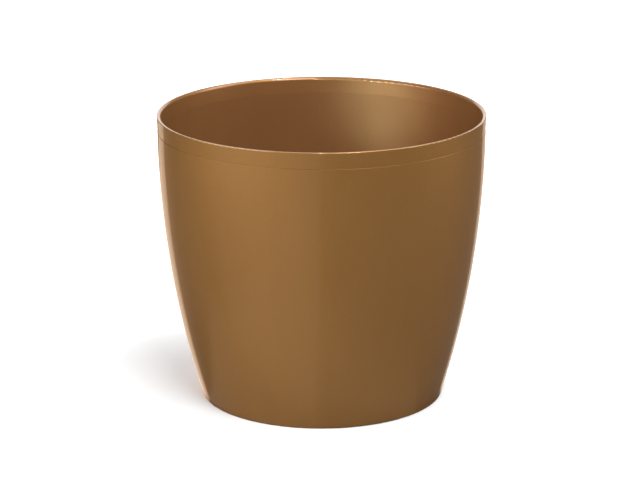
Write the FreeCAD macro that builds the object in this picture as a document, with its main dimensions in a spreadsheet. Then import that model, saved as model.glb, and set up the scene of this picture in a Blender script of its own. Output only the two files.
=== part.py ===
import FreeCAD, Part
import Sketcher
import math
import os

# A round cover pot for a nursery pot. It stands on its foot ring at the origin, with its axis on +Z.
# It is two mouldings: the shell, and the rim band that is pushed onto the shell's top edge.
# Every size is in millimetres, and a radius from the axis is called a reach here.
SIZES = {
    # the outer form
    "rim_diameter": 250.0,        # over the top of the rim, to its corner before rounding
    "pot_height": 221.0,          # from the ground to the top of the rim
    "foot_diameter": 187.0,       # over the wall where it meets the foot ring
    "belly_radius": 737.0,        # of the long arc that the wall follows, seen from the side
    # the wall and the floor
    "wall_thickness": 2.2,
    "floor_thickness": 2.6,
    "floor_corner_radius": 8.0,   # inside, between the wall and the floor
    "thickening_length": 60.0,    # the stretch under the shoulder where the wall grows thicker
    # the foot ring, and the hollow that it leaves under the floor
    "foot_ring_height": 3.0,
    "foot_ring_width": 4.5,
    "foot_ring_draft": 0.4,       # how far the ring's inner face leans outwards to the ground
    "foot_land_height": 2.4,      # the land round the foot's outside
    "foot_land_step": 0.2,        # how far the land stands out from the wall above it
    "foot_land_draft": 0.7,       # how far the land draws in towards the ground
    "foot_edge_radius": 1.0,
    "foot_inner_radius": 0.6,
    "foot_root_radius": 1.2,
    # the ribs under the floor, and the mark of the gate in their middle
    "rib_count": 8,
    "rib_thickness": 1.8,
    "rib_ground_clearance": 1.4,
    "rib_overrun": 1.0,           # how deep a rib is rooted in the floor, the ring and the gate pad
    "gate_pad_diameter": 22.0,
    "gate_pad_ground_clearance": 1.9,
    "gate_mark_diameter": 5.0,
    "gate_mark_depth": 0.5,
    # the rim band
    "band_height": 12.4,
    "band_lean": 0.45,            # how far its outside leans outwards over its height
    "band_thickness": 2.9,        # at its lower end
    "lip_thickness": 3.0,         # at its top
    "lip_outer_radius": 0.5,
    "lip_inner_radius": 2.2,
    "shoulder_step": 0.2,         # how far the shell's shoulder stands out from the band above it
    "seam_edge_radius": 0.15,     # on both edges of the seam that shows outside
    # the joint: a tongue on the shell in a slot of the band, held by a snap bead
    "outer_skirt": 0.8,           # the band's wall outside the slot, at its lower end
    "tongue_thickness": 0.9,
    "tongue_height": 8.0,
    "tongue_chamfer": 0.25,
    "slot_chamfer": 0.2,
    "fit_clearance": 0.1,         # between the tongue and each side of the slot
    "end_clearance": 0.3,         # between the tongue and the end of the slot
    "snap_height": 4.0,           # of the bead's crest over the shoulder
    "snap_width": 1.8,
    "snap_depth": 0.25,
}


class Length:
    # A length that carries its number and the formula that gives it from the sheet's cells.
    # One with no formula is only a first guess, for a sketch to solve.
    def __init__(self, value, formula=None):
        self.value = value
        self.formula = formula

    def __add__(self, other):
        return Length(self.value + other.value, f"({self.formula} + {other.formula})")

    def __sub__(self, other):
        return Length(self.value - other.value, f"({self.formula} - {other.formula})")

    def half(self):
        return Length(self.value / 2, f"({self.formula} / 2)")


ZERO = Length(0.0, "0")


class Sheet:
    # The spreadsheet of driving dimensions, with each of its cells at hand as a Length.
    def __init__(self, document):
        table = document.addObject("Spreadsheet::Sheet", "sizes")
        for row, (name, value) in enumerate(SIZES.items(), start=1):
            table.set(f"A{row}", name)
            table.set(f"B{row}", str(value))
            table.setAlias(f"B{row}", name)
            setattr(self, name, Length(value, f"sizes.{name}"))

        # the places that the shell and the band share
        self.shoulder = self.pot_height - self.band_height
        self.band_foot_reach = self.rim_diameter.half() - self.band_lean
        self.band_bore_reach = self.band_foot_reach - self.band_thickness
        self.slot_outside = self.band_foot_reach - self.outer_skirt
        self.tongue_outside = self.slot_outside - self.fit_clearance
        self.tongue_inside = self.tongue_outside - self.tongue_thickness
        self.slot_inside = self.tongue_inside - self.fit_clearance
        self.tongue_top = self.shoulder + self.tongue_height
        self.snap_middle = self.shoulder + self.snap_height


def new_body(document, name):
    body = document.addObject("PartDesign::Body", name)
    body.Label = name
    return body


def new_sketch(body, name, role):
    sketch = body.newObject("Sketcher::SketchObject", name)
    plane = next(item for item in body.Origin.OriginFeatures if item.Role == role)
    sketch.AttachmentSupport = [(plane, "")]
    sketch.MapMode = "FlatFace"
    return sketch


def dimension(sketch, name, kind, places, length):
    # Adds a named dimension and ties it to the sheet.
    index = sketch.addConstraint(Sketcher.Constraint(kind, *places, length.value))
    sketch.renameConstraint(index, name)
    sketch.setExpression(f"Constraints.{name}", length.formula)


def tie_point(sketch, name, point, across, up):
    # Ties a point to its distances from the sketch's two axes.
    sides = (("DistanceX", across, "across", -2), ("DistanceY", up, "up", -1))
    for kind, length, side, axis in sides:
        if length.formula is None:
            continue
        if length.value == 0:
            sketch.addConstraint(Sketcher.Constraint("PointOnObject", *point, axis))
        else:
            dimension(sketch, f"{name}_{side}", kind, (-1, 1, *point), length)


def draw_outline(sketch, corners, arc_radii, smooth):
    # Draws a closed outline through named corners and ties the corners to the sheet.
    # arc_radii gives a first radius for each stretch that is an arc, named by its first corner,
    # and smooth names the corners where one stretch runs into the next with no angle.
    points = [FreeCAD.Vector(across.value, up.value, 0) for _, across, up in corners]
    names = [corner[0] for corner in corners]
    elements = {}
    starts = {}
    ends = {}
    for index, name in enumerate(names):
        start = points[index]
        end = points[(index + 1) % len(points)]
        starts[name], ends[name] = 1, 2
        if name in arc_radii:
            # the arc stands out from its chord, away from the axis
            chord = end - start
            outwards = FreeCAD.Vector(abs(chord.y), -math.copysign(chord.x, chord.x * chord.y), 0)
            bulge = chord.Length / (8 * arc_radii[name].value)
            middle = (start + end) / 2 + outwards * bulge
            # an arc in a sketch turns anticlockwise, so the other kind is drawn from its end
            if (middle - start).cross(chord).z < 0:
                start, end = end, start
                starts[name], ends[name] = 2, 1
            line = Part.Arc(start, middle, end)
        else:
            line = Part.LineSegment(start, end)
        elements[name] = sketch.addGeometry(line, False)
    for index, (name, across, up) in enumerate(corners):
        following = names[(index + 1) % len(names)]
        kind = "Tangent" if following in smooth else "Coincident"
        meeting = (elements[name], ends[name], elements[following], starts[following])
        sketch.addConstraint(Sketcher.Constraint(kind, *meeting))
        tie_point(sketch, name, (elements[name], starts[name]), across, up)
    return elements


def turn(body, sketch, name):
    # Turns a half section round the pot's axis.
    feature = body.newObject("PartDesign::Revolution", name)
    feature.Profile = sketch
    feature.ReferenceAxis = (sketch, ["V_Axis"])
    feature.Angle = 360
    return feature


def ring_edge(shape, reach, height):
    # Names the ring-shaped edge that comes nearest to a reach from the axis and a height.
    nearest = None
    for index, edge in enumerate(shape.Edges, start=1):
        if not isinstance(edge.Curve, Part.Circle):
            continue
        centre = edge.Curve.Center
        miss = math.hypot(edge.Curve.Radius - reach.value, centre.z - height.value)
        miss = math.hypot(miss, math.hypot(centre.x, centre.y))
        if nearest is None or miss < nearest[0]:
            nearest = (miss, f"Edge{index}")
    return nearest[1]


def fillet_ring(document, body, name, reach, height, radius):
    base = body.Tip
    feature = body.newObject("PartDesign::Fillet", name)
    feature.Base = (base, [ring_edge(base.Shape, reach, height)])
    feature.setExpression("Radius", radius.formula)
    document.recompute()
    return feature


def make_outer_shell(document, size):
    # The pot's wall, its floor, its foot ring, and the tongue that carries the band.
    body = new_body(document, "outer_shell")
    foot_reach = size.foot_diameter.half()
    land_reach = foot_reach + size.foot_land_step
    ring_root = land_reach - size.foot_ring_width
    ring_inside = ring_root + size.foot_ring_draft
    ring_outside = land_reach - size.foot_land_draft
    floor_top = size.foot_ring_height + size.floor_thickness
    gate_level = size.gate_pad_ground_clearance
    gate_mark_level = gate_level + size.gate_mark_depth
    shoulder_reach = size.band_foot_reach + size.shoulder_step
    thickening_foot = size.shoulder - size.thickening_length
    inner_radius = size.belly_radius - size.wall_thickness

    sketch = new_sketch(body, "shell_section", "XZ_Plane")
    corners = [
        ("gate_mark_middle", ZERO, gate_mark_level),
        ("gate_mark_root", size.gate_mark_diameter.half(), gate_mark_level),
        ("gate_mark_edge", size.gate_mark_diameter.half(), gate_level),
        ("gate_pad_edge", size.gate_pad_diameter.half(), gate_level),
        ("gate_pad_root", size.gate_pad_diameter.half(), size.foot_ring_height),
        ("ring_root", ring_root, size.foot_ring_height),
        ("ring_inside", ring_inside, ZERO),
        ("ring_outside", ring_outside, ZERO),
        ("land_top", land_reach, size.foot_land_height),
        ("wall_foot", foot_reach, size.foot_land_height),
        ("shoulder_edge", shoulder_reach, size.shoulder),
        ("tongue_foot_outside", size.tongue_outside, size.shoulder),
        ("snap_start", size.tongue_outside, size.snap_middle - size.snap_width.half()),
        ("snap_crest", size.tongue_outside + size.snap_depth, size.snap_middle),
        ("snap_end", size.tongue_outside, size.snap_middle + size.snap_width.half()),
        ("tongue_side_outside", size.tongue_outside, size.tongue_top - size.tongue_chamfer),
        ("tongue_top_outside", size.tongue_outside - size.tongue_chamfer, size.tongue_top),
        ("tongue_top_inside", size.tongue_inside + size.tongue_chamfer, size.tongue_top),
        ("tongue_side_inside", size.tongue_inside, size.tongue_top - size.tongue_chamfer),
        ("tongue_foot_inside", size.tongue_inside, size.shoulder),
        ("bore_edge", size.band_bore_reach, size.shoulder),
        ("thickening_foot", Length(size.band_bore_reach.value), thickening_foot),
        ("floor_corner", Length(foot_reach.value - size.wall_thickness.value), floor_top),
        ("floor_middle", ZERO, floor_top),
    ]
    arc_radii = {
        "wall_foot": size.belly_radius,
        "bore_edge": inner_radius,
        "thickening_foot": inner_radius,
    }
    elements = draw_outline(sketch, corners, arc_radii, ["thickening_foot"])
    outside = elements["wall_foot"]
    inside = elements["thickening_foot"]
    dimension(sketch, "belly_radius", "Radius", (outside,), size.belly_radius)
    dimension(sketch, "inner_radius", "Radius", (inside,), inner_radius)
    sketch.addConstraint(Sketcher.Constraint("Coincident", inside, 3, outside, 3))
    turn(body, sketch, "shell_turned")
    document.recompute()

    # the roundings, from the ground upwards
    ring_top = size.foot_ring_height
    corner_guess = foot_reach - size.wall_thickness
    fillet_ring(document, body, "foot_edge", ring_outside, ZERO, size.foot_edge_radius)
    fillet_ring(document, body, "foot_inner_edge", ring_inside, ZERO, size.foot_inner_radius)
    fillet_ring(document, body, "foot_root", ring_root, ring_top, size.foot_root_radius)
    fillet_ring(document, body, "floor_corner", corner_guess, floor_top, size.floor_corner_radius)
    fillet_ring(document, body, "shoulder_edge", shoulder_reach, size.shoulder, size.seam_edge_radius)

    # one rib, and its copies round the axis
    plan = new_sketch(body, "rib_plan", "XY_Plane")
    plan.setExpression("AttachmentOffset.Base.z", size.rib_ground_clearance.formula)
    start = size.gate_pad_diameter.half() - size.rib_overrun
    end = ring_root + size.rib_overrun
    side = size.rib_thickness.half()
    other_side = ZERO - side
    rib_corners = [
        ("inner_right", start, other_side),
        ("outer_right", end, other_side),
        ("outer_left", end, side),
        ("inner_left", start, side),
    ]
    draw_outline(plan, rib_corners, {}, [])
    rib = body.newObject("PartDesign::Pad", "rib")
    rib.Profile = plan
    rib_depth = size.foot_ring_height - size.rib_ground_clearance + size.rib_overrun
    rib.setExpression("Length", rib_depth.formula)
    document.recompute()
    ribs = body.newObject("PartDesign::PolarPattern", "ribs")
    ribs.Originals = [rib]
    ribs.Axis = (plan, ["N_Axis"])
    ribs.Angle = 360
    ribs.setExpression("Occurrences", size.rib_count.formula)
    body.Tip = ribs
    document.recompute()
    return body


def make_rim_band(document, size):
    # The ring at the mouth, with the slot that the shell's tongue stands in.
    body = new_body(document, "rim_band")
    rim_reach = size.rim_diameter.half()
    lip_inside = rim_reach - size.lip_thickness
    slot_end = size.tongue_top + size.end_clearance
    notch = size.snap_width.half() + size.fit_clearance
    sketch = new_sketch(body, "band_section", "XZ_Plane")
    corners = [
        ("band_foot", size.band_foot_reach, size.shoulder),
        ("lip_outside", rim_reach, size.pot_height),
        ("lip_inside", lip_inside, size.pot_height),
        ("band_bore", size.band_bore_reach, size.shoulder),
        ("slot_mouth_inside", size.slot_inside - size.slot_chamfer, size.shoulder),
        ("slot_side_inside", size.slot_inside, size.shoulder + size.slot_chamfer),
        ("slot_end_inside", size.slot_inside, slot_end),
        ("slot_end_outside", size.slot_outside, slot_end),
        ("notch_end", size.slot_outside, size.snap_middle + notch),
        ("notch_root", size.slot_outside + size.snap_depth, size.snap_middle),
        ("notch_start", size.slot_outside, size.snap_middle - notch),
        ("slot_side_outside", size.slot_outside, size.shoulder + size.slot_chamfer),
        ("slot_mouth_outside", size.slot_outside + size.slot_chamfer, size.shoulder),
    ]
    draw_outline(sketch, corners, {}, [])
    turn(body, sketch, "band_turned")
    document.recompute()
    fillet_ring(document, body, "lip_outside", rim_reach, size.pot_height, size.lip_outer_radius)
    fillet_ring(document, body, "lip_inside", lip_inside, size.pot_height, size.lip_inner_radius)
    fillet_ring(document, body, "band_edge", size.band_foot_reach, size.shoulder, size.seam_edge_radius)
    return body


def check(document, bodies):
    failed = [item.Label for item in document.Objects if {"Invalid", "Error"} & set(item.State)]
    if failed:
        raise RuntimeError("failed: " + ", ".join(failed))
    for body in bodies:
        if body.Shape.isNull() or not body.Shape.isValid():
            raise RuntimeError(body.Label + " has no valid shape")
        if len(body.Shape.Solids) != 1:
            raise RuntimeError(body.Label + " is not one solid")


def main():
    document = FreeCAD.newDocument("cachepot")
    size = Sheet(document)
    document.recompute()
    bodies = [make_outer_shell(document, size), make_rim_band(document, size)]
    document.recompute()
    check(document, bodies)
    os.makedirs("parts", exist_ok=True)
    for body in bodies:
        body.Shape.exportStep(f"parts/{body.Label}.step")
        box = body.Shape.BoundBox
        print(body.Label, "volume", round(body.Shape.Volume), "mm3, height", box.ZMin, "to", box.ZMax)


main()
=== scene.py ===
import math

import bpy
from mathutils import Matrix, Vector

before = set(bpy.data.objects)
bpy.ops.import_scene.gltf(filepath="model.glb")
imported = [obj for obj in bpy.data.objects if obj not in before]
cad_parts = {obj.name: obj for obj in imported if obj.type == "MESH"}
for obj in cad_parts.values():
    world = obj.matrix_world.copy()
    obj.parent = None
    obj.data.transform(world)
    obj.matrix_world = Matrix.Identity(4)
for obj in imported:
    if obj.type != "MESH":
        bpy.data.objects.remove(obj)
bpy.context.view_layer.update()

print("frame loaded:", ", ".join(sorted(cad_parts)))


# Camera: a long lens in front of the pot, a little above it
cameraSetup = {
    "place": (-0.00135, -1.971, 0.691),   # metres; the pot stands at the origin
    "tiltDown": 16.15,                    # degrees under the horizon
    "roll": -0.13,                        # degrees, as the photograph leans a little
    "lens": 150.0,                        # mm
    "sensor": 36.0,                       # mm across
    "clip": (0.05, 60.0),                 # metres, nearest and furthest
}
downToLevel = 90.0   # degrees that lift a new camera from looking down to looking level


def addCamera(setup):
    data = bpy.data.cameras.new("camera")
    data.sensor_width = setup["sensor"]
    data.lens = setup["lens"]
    data.clip_start, data.clip_end = setup["clip"]
    camera = bpy.data.objects.new("camera", data)
    bpy.context.scene.collection.objects.link(camera)
    tilt = Matrix.Rotation(math.radians(downToLevel - setup["tiltDown"]), 4, "X")
    roll = Matrix.Rotation(math.radians(setup["roll"]), 4, "Z")
    camera.matrix_world = Matrix.Translation(Vector(setup["place"])) @ tilt @ roll
    bpy.context.scene.camera = camera


addCamera(cameraSetup)
print("camera ready")


# Small helpers for the node trees of the materials, the cards and the surrounding
mixSockets = {"FLOAT": (2, 3, 0), "RGBA": (6, 7, 2)}   # a Mix node's two values and its result
onlyAcross = (1.0, 1.0, 0.0)                           # keeps x and y and drops the height


def addNode(tree, kind, **settings):
    node = tree.nodes.new(kind)
    for key, value in settings.items():
        setattr(node, key, value)
    return node


# Gives a socket another node's output, or else a fixed value
def feed(tree, socket, value):
    if isinstance(value, bpy.types.NodeSocket):
        tree.links.new(value, socket)
    else:
        socket.default_value = value


def mathNode(tree, operation, *values):
    node = addNode(tree, "ShaderNodeMath", operation=operation)
    for socket, value in zip(node.inputs, values):
        feed(tree, socket, value)
    return node.outputs["Value"]


def vectorNode(tree, operation, *values):
    node = addNode(tree, "ShaderNodeVectorMath", operation=operation)
    for socket, value in zip(node.inputs, values):
        feed(tree, socket, value)
    return node


def mixNode(tree, kind, factor, first, second):
    node = addNode(tree, "ShaderNodeMix", data_type=kind)
    firstSocket, secondSocket, result = mixSockets[kind]
    feed(tree, node.inputs["Factor"], factor)
    feed(tree, node.inputs[firstSocket], first)
    feed(tree, node.inputs[secondSocket], second)
    return node.outputs[result]


# Moves a number from one range to another and stops it at the ends
def rangeNode(tree, value, fromRange=(0.0, 1.0), toRange=(0.0, 1.0), kind="LINEAR"):
    node = addNode(tree, "ShaderNodeMapRange", interpolation_type=kind)
    feed(tree, node.inputs["Value"], value)
    for socket, number in zip(("From Min", "From Max", "To Min", "To Max"), (*fromRange, *toRange)):
        feed(tree, node.inputs[socket], number)
    return node.outputs["Result"]


def noiseNode(tree, place, noise):
    mapping = addNode(tree, "ShaderNodeMapping")
    feed(tree, mapping.inputs["Vector"], place)
    feed(tree, mapping.inputs["Scale"], noise.get("stretch", (1.0, 1.0, 1.0)))
    node = addNode(tree, "ShaderNodeTexNoise")
    feed(tree, node.inputs["Vector"], mapping.outputs["Vector"])
    feed(tree, node.inputs["Scale"], noise["scale"])
    feed(tree, node.inputs["Detail"], noise["detail"])
    return node.outputs["Fac"]


# Materials: moulded plastic with bronze pigment flakes under a smoother skin. The flakes, the faint
# flow lines of the moulding, the orange peel of the mould, the inner wall's painted light colour and
# the worn edges all come from Object coordinates, which are metres from the middle of the foot. The
# inner wall's colour is painted light: a less yellow copy of the same bronze, for how light falls
# inside the pot. A noise's scale is its count across a metre, and a depth is how far a pattern moves
# a number up and down.
shellFinish = {
    "colour": (0.262, 0.121, 0.0275, 1.0),
    "innerPaintedLightColour": (0.252, 0.117, 0.042, 1.0),   # painted light: a little less yellow, as the photograph shows it, for how light falls inside the pot
    "metallic": 0.6,
    "edgeTint": (0.4, 0.3, 0.2, 1.0),            # dulls the flakes where they are seen at a low angle
    "roughness": 0.42,
    "hazeDepth": 0.05,
    "haze": {"scale": 60.0, "detail": 6.0},
    "coat": 0.2,
    "coatOnEdges": 0.4,                          # the skin is thicker on the lip and the foot's edge
    "coatIor": 2.0,
    "coatRoughness": 0.08,
    "coatHazeDepth": 0.03,
    "flakeScale": 2600.0,
    "flakeDepth": 0.05,
    "flow": {"scale": 70.0, "detail": 5.0, "stretch": (1.0, 1.0, 0.06)},
    "flowDepth": 0.035,
    "patch": {"scale": 9.0, "detail": 3.0},
    "patchDepth": 0.04,
    "peel": {"scale": 420.0, "detail": 2.0},
    "peelHeight": 0.0000035,                     # metres
    "wave": {"scale": 22.0, "detail": 1.0},
    "waveHeight": 0.00004,                       # metres
    "wornColour": (0.3, 0.17, 0.07, 1.0),
    "wornRoughness": 0.5,
    "wornFoot": (0.0016, 0.0002),                # heights over which the foot's wear grows
    "wornLip": (0.2198, 0.2210),                 # heights over which the lip's wear grows
    "wornLipMost": 0.5,
    "wornBreaks": {"scale": 260.0, "detail": 4.0},
    "wornBreakRange": (0.38, 0.68),              # the noise's range over which wear starts to show
}
bandFinish = dict(shellFinish, flowDepth=0.02, patchDepth=0.03, wave={"scale": 30.0, "detail": 1.0})

# Seen from the side, the outside of the wall is an arc
wallArc = {
    "middle": (-0.61222, 0.0, 0.21482),   # metres; x is measured from the pot's axis
    "radius": 0.737,                      # metres
    "insideFrom": 0.0007,                 # metres under the outside; further in counts as inside
}


# A number that a pattern, which runs from 0 to 1, moves up and down around its value
def strayNode(tree, pattern, value, depth):
    return rangeNode(tree, pattern, toRange=(value - depth, value + depth))


# 1 near the edges that wear: the foot's lowest edge and, up to a lower level, the top of the lip
def edgeMask(tree, place, finish):
    parts = addNode(tree, "ShaderNodeSeparateXYZ")
    feed(tree, parts.inputs["Vector"], place)
    lipWear = (0.0, finish["wornLipMost"])
    foot = rangeNode(tree, parts.outputs["Z"], finish["wornFoot"], kind="SMOOTHSTEP")
    lip = rangeNode(tree, parts.outputs["Z"], finish["wornLip"], lipWear, "SMOOTHSTEP")
    return mathNode(tree, "MAXIMUM", foot, lip)


# 1 inside the pot and under it, 0 on its outside: the distance from the arc's middle tells them apart.
# This mask places the inside's painted light colour.
def paintedLightInsideMask(tree, place, arc):
    parts = addNode(tree, "ShaderNodeSeparateXYZ")
    feed(tree, parts.inputs["Vector"], place)
    across = vectorNode(tree, "MULTIPLY", place, onlyAcross).outputs["Vector"]
    section = addNode(tree, "ShaderNodeCombineXYZ")
    feed(tree, section.inputs["X"], vectorNode(tree, "LENGTH", across).outputs["Value"])
    feed(tree, section.inputs["Z"], parts.outputs["Z"])
    fromMiddle = vectorNode(tree, "DISTANCE", section.outputs["Vector"], arc["middle"])
    return mathNode(tree, "LESS_THAN", fromMiddle.outputs["Value"], arc["radius"] - arc["insideFrom"])


def bronzeMaterial(name, finish):
    material = bpy.data.materials.new(name)
    material.use_nodes = True
    tree = material.node_tree
    shader = tree.nodes["Principled BSDF"]
    place = addNode(tree, "ShaderNodeTexCoord").outputs["Object"]
    edges = edgeMask(tree, place, finish)
    breaks = rangeNode(tree, noiseNode(tree, place, finish["wornBreaks"]), finish["wornBreakRange"])
    worn = mathNode(tree, "MULTIPLY", edges, breaks)
    flow = noiseNode(tree, place, finish["flow"])

    # colour: the outside's own bronze or the inside's painted light copy of it, made lighter and darker
    # by flakes, flow lines and patches, then the wear
    flakes = addNode(tree, "ShaderNodeTexVoronoi")
    feed(tree, flakes.inputs["Vector"], place)
    feed(tree, flakes.inputs["Scale"], finish["flakeScale"])
    flakeTone = addNode(tree, "ShaderNodeSeparateColor")
    feed(tree, flakeTone.inputs["Color"], flakes.outputs["Color"])
    patch = noiseNode(tree, place, finish["patch"])
    tone = strayNode(tree, flakeTone.outputs["Red"], 1.0, finish["flakeDepth"])
    tone = mathNode(tree, "MULTIPLY", tone, strayNode(tree, flow, 1.0, finish["flowDepth"]))
    tone = mathNode(tree, "MULTIPLY", tone, strayNode(tree, patch, 1.0, finish["patchDepth"]))
    # the inside and the underside take a less yellow copy of the same bronze: painted light for how light
    # falls in there
    inside = paintedLightInsideMask(tree, place, wallArc)
    side = mixNode(tree, "RGBA", inside, finish["colour"], finish["innerPaintedLightColour"])
    toned = vectorNode(tree, "SCALE", side)
    feed(tree, toned.inputs["Scale"], tone)
    base = mixNode(tree, "RGBA", worn, toned.outputs["Vector"], finish["wornColour"])
    feed(tree, shader.inputs["Base Color"], base)
    feed(tree, shader.inputs["Metallic"], finish["metallic"])
    feed(tree, shader.inputs["Specular Tint"], finish["edgeTint"])

    # roughness: hazy all over, and a fixed value where the edges are worn
    haze = noiseNode(tree, place, finish["haze"])
    hazy = strayNode(tree, haze, finish["roughness"], finish["hazeDepth"])
    feed(tree, shader.inputs["Roughness"], mixNode(tree, "FLOAT", worn, hazy, finish["wornRoughness"]))

    # skin: thicker on the edges, and its gloss varies along the flow lines
    coatRange = (finish["coat"], finish["coatOnEdges"])
    coat = rangeNode(tree, edges, (0.0, finish["wornLipMost"]), coatRange)
    feed(tree, shader.inputs["Coat Weight"], coat)
    feed(tree, shader.inputs["Coat IOR"], finish["coatIor"])
    streaky = strayNode(tree, flow, finish["coatRoughness"], finish["coatHazeDepth"])
    feed(tree, shader.inputs["Coat Roughness"], streaky)

    # relief: orange peel on top of long shallow waves
    wave = addNode(tree, "ShaderNodeBump")
    feed(tree, wave.inputs["Distance"], finish["waveHeight"])
    feed(tree, wave.inputs["Height"], noiseNode(tree, place, finish["wave"]))
    peel = addNode(tree, "ShaderNodeBump")
    feed(tree, peel.inputs["Distance"], finish["peelHeight"])
    feed(tree, peel.inputs["Height"], noiseNode(tree, place, finish["peel"]))
    feed(tree, peel.inputs["Normal"], wave.outputs["Normal"])
    for socket in ("Normal", "Coat Normal"):
        feed(tree, shader.inputs[socket], peel.outputs["Normal"])
    return material


finishes = {"outer_shell": ("shellBronze", shellFinish), "rim_band": ("bandBronze", bandFinish)}
for name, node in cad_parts.items():
    node.data.materials.clear()
    node.data.materials.append(bronzeMaterial(*finishes[name]))
print("materials ready")


# Stage: a pale floor in a white surrounding, with soft lamps round the pot. The floor is white for
# the camera, and its glow for the camera alone grows with the distance from the pot, so that the
# picture's edges are white while the pot's own shadows stay.
white = (1.0, 1.0, 1.0)
stageSetup = {
    "floorReach": 6.0,                        # metres from the pot to the floor's edge
    "floorColour": (0.73, 0.75, 0.765, 1.0),  # as the camera sees it
    "floorToObject": (0.2, 0.2, 0.2, 1.0),    # as the object sees it
    "glow": (0.04, 1.0),                      # the camera's glow beside the pot and far from it
    "glowReach": (0.12, 0.53),                # metres from the pot over which the glow grows
    "ambient": 0.0,                           # what the surrounding gives the object
    "background": 1.0,                        # what the camera sees of it
}

# Each lamp is a soft rectangle aimed at the pot. Its azimuth is 0 at the camera's side and grows to
# the right, its level is the brightness of its face, and white paper in the open is 1.
studioLamps = {
    "leftSoftbox": {"azimuth": -62.0, "rise": 22.0, "distance": 1.3, "size": (1.35, 0.6), "level": 8.1},
    "frontHigh": {"azimuth": 20.0, "rise": 45.0, "distance": 1.3, "size": (0.7, 0.6), "level": 13.6},
    "rightHigh": {"azimuth": 100.0, "rise": 45.0, "distance": 1.3, "size": (0.7, 0.6), "level": 5.6},
    "rightLow": {"azimuth": 90.0, "rise": 16.0, "distance": 1.2, "size": (0.52, 0.6), "level": 3.8},
    "overheadKey": {"azimuth": 80.0, "rise": 75.0, "distance": 1.3, "size": (0.14, 0.14), "level": 120.0},
    "topBack": {"azimuth": 180.0, "rise": 62.0, "distance": 1.5, "size": (1.4, 0.5), "level": 2.6},
    "backWall": {"azimuth": 180.0, "rise": 14.0, "distance": 1.7, "size": (1.8, 0.8), "level": 2.8},
}
lampTarget = Vector((0.0, 0.0, 0.11))   # the pot's middle

# Cards lie on the floor and light the pot from below, as the floor does where it is brightest. The
# middle and the size are metres, and the turn is degrees about the vertical. A card is at its level
# where both fades are 1. Each pair of numbers tells where its fade starts and where it is 1: across
# the card from 0 at the left to 1 at the right, or along it from 0 at the back to 1 at the front.
floorCards = {
    "frontLeftCard": {"middle": (-0.804, -0.86), "size": (1.592, 1.5), "turn": 0.0, "level": 0.36,
                      "tint": white, "fadeAlong": (-0.1, 0.2)},
    "nearLeftCard": {"middle": (-0.152, -0.195), "size": (0.296, 0.33), "turn": 0.0, "level": 0.29,
                     "tint": white, "fadeAlong": (1.0, 0.3), "fadeAcross": (0.0, 0.5)},
    "nearRightCard": {"middle": (0.13, -0.21), "size": (0.268, 0.3), "turn": 0.0, "level": 0.21,
                      "tint": white, "fadeAlong": (1.0, 0.3), "fadeAcross": (0.75, 0.1)},
    "backRightCard": {"middle": (0.2302, 0.4669), "size": (0.201, 1.01), "turn": -27.2, "level": 2.25,
                      "tint": (1.0, 0.8, 0.6), "fadeAlong": (1.0, 0.97)},
    "backLeftCard": {"middle": (-0.2857, 0.4379), "size": (0.241, 1.022), "turn": 36.4, "level": 2.8,
                     "tint": (1.0, 0.8, 0.6), "fadeAlong": (1.0, 0.97)},
}
cardHeight = 0.001   # metres over the floor

# A narrow spot reaches over the rim and lights the inner wall at the back, a little to the right
innerSpot = {
    "place": (-0.52, -0.5, 0.44),
    "aim": (0.047, 0.112, 0.203),
    "cone": 6.5,                 # degrees
    "blend": 1.0,
    "level": 4.3,                # light that falls on the wall, in the lamps' measure
    "tint": (0.47, 0.78, 1.0),
    "radius": 0.02,
}
wholeSphere = 4.0 * math.pi      # a spot's power is spread over all directions


def addFloor(setup):
    reach = setup["floorReach"]
    mesh = bpy.data.meshes.new("floor")
    corners = [(-reach, -reach, 0), (reach, -reach, 0), (reach, reach, 0), (-reach, reach, 0)]
    mesh.from_pydata(corners, [], [(0, 1, 2, 3)])
    floor = bpy.data.objects.new("floor", mesh)
    bpy.context.scene.collection.objects.link(floor)
    material = bpy.data.materials.new("floorWhite")
    material.use_nodes = True
    tree = material.node_tree
    tree.nodes.remove(tree.nodes["Principled BSDF"])
    toCamera = addNode(tree, "ShaderNodeLightPath").outputs["Is Camera Ray"]
    matte = addNode(tree, "ShaderNodeBsdfDiffuse")
    colour = mixNode(tree, "RGBA", toCamera, setup["floorToObject"], setup["floorColour"])
    feed(tree, matte.inputs["Color"], colour)
    place = addNode(tree, "ShaderNodeTexCoord").outputs["Object"]
    fromPot = vectorNode(tree, "LENGTH", place).outputs["Value"]
    level = rangeNode(tree, fromPot, setup["glowReach"], setup["glow"])
    glow = addNode(tree, "ShaderNodeEmission")
    feed(tree, glow.inputs["Strength"], mathNode(tree, "MULTIPLY", level, toCamera))
    both = addNode(tree, "ShaderNodeAddShader")
    feed(tree, both.inputs[0], matte.outputs["BSDF"])
    feed(tree, both.inputs[1], glow.outputs["Emission"])
    feed(tree, tree.nodes["Material Output"].inputs["Surface"], both.outputs["Shader"])
    mesh.materials.append(material)


# Puts a light in the scene, where the camera doesn't see the light itself
def placeLight(name, data, location, rotation):
    light = bpy.data.objects.new(name, data)
    light.location = location
    light.rotation_euler = rotation
    light.visible_camera = False
    bpy.context.scene.collection.objects.link(light)


# A soft rectangle of light. Its power is its level times its face times pi.
def softRectangle(name, size, level):
    data = bpy.data.lights.new(name, "AREA")
    data.shape = "RECTANGLE"
    data.size, data.size_y = size
    data.energy = level * math.pi * data.size * data.size_y
    return data


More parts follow.
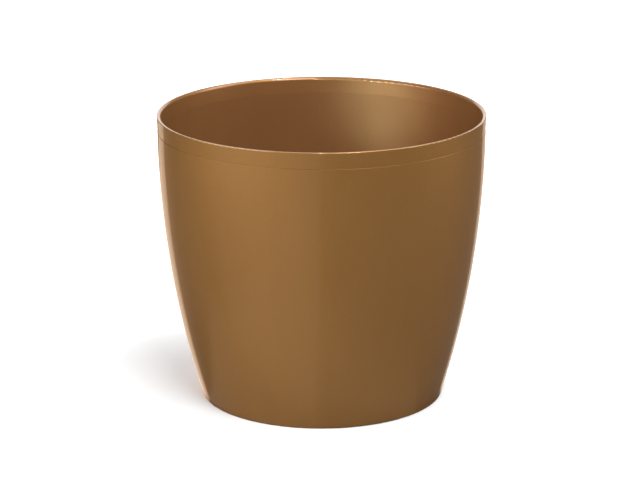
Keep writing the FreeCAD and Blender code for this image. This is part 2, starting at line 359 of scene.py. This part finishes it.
def addLamp(name, lamp):
    azimuth = math.radians(lamp["azimuth"])
    rise = math.radians(lamp["rise"])
    level = math.cos(rise)
    away = Vector((math.sin(azimuth) * level, -math.cos(azimuth) * level, math.sin(rise)))
    data = softRectangle(name, lamp["size"], lamp["level"])
    location = lampTarget + away * lamp["distance"]
    placeLight(name, data, location, away.to_track_quat("Z", "Y").to_euler())


def addCard(name, card):
    data = softRectangle(name, card["size"], card["level"])
    data.color = card["tint"]
    data.use_nodes = True
    tree = data.node_tree
    place = addNode(tree, "ShaderNodeSeparateXYZ")
    feed(tree, place.inputs["Vector"], addNode(tree, "ShaderNodeNewGeometry").outputs["Parametric"])
    strength = rangeNode(tree, place.outputs["Y"], card["fadeAlong"], kind="SMOOTHSTEP")
    if "fadeAcross" in card:
        across = rangeNode(tree, place.outputs["X"], card["fadeAcross"], kind="SMOOTHSTEP")
        strength = mathNode(tree, "MULTIPLY", across, strength)
    feed(tree, tree.nodes["Emission"].inputs["Strength"], strength)
    faceUp = (math.pi, 0.0, math.radians(card["turn"]))
    placeLight(name, data, (*card["middle"], cardHeight), faceUp)


def addSpot(name, spot):
    away = Vector(spot["place"]) - Vector(spot["aim"])
    data = bpy.data.lights.new(name, "SPOT")
    data.spot_size = math.radians(spot["cone"])
    data.spot_blend = spot["blend"]
    data.shadow_soft_size = spot["radius"]
    data.color = spot["tint"]
    data.energy = spot["level"] * wholeSphere * away.length_squared
    placeLight(name, data, spot["place"], away.to_track_quat("Z", "Y").to_euler())


def makeWorld(setup):
    world = bpy.data.worlds.new("studio")
    world.use_nodes = True
    tree = world.node_tree
    toCamera = addNode(tree, "ShaderNodeLightPath").outputs["Is Camera Ray"]
    level = mixNode(tree, "FLOAT", toCamera, setup["ambient"], setup["background"])
    feed(tree, tree.nodes["Background"].inputs["Strength"], level)
    feed(tree, tree.nodes["Background"].inputs["Color"], (*white, 1.0))
    bpy.context.scene.world = world


addFloor(stageSetup)
for name, lamp in studioLamps.items():
    addLamp(name, lamp)
for name, card in floorCards.items():
    addCard(name, card)
addSpot("innerSpot", innerSpot)
makeWorld(stageSetup)
bpy.context.scene.view_settings.view_transform = "Standard"
print("stage ready")
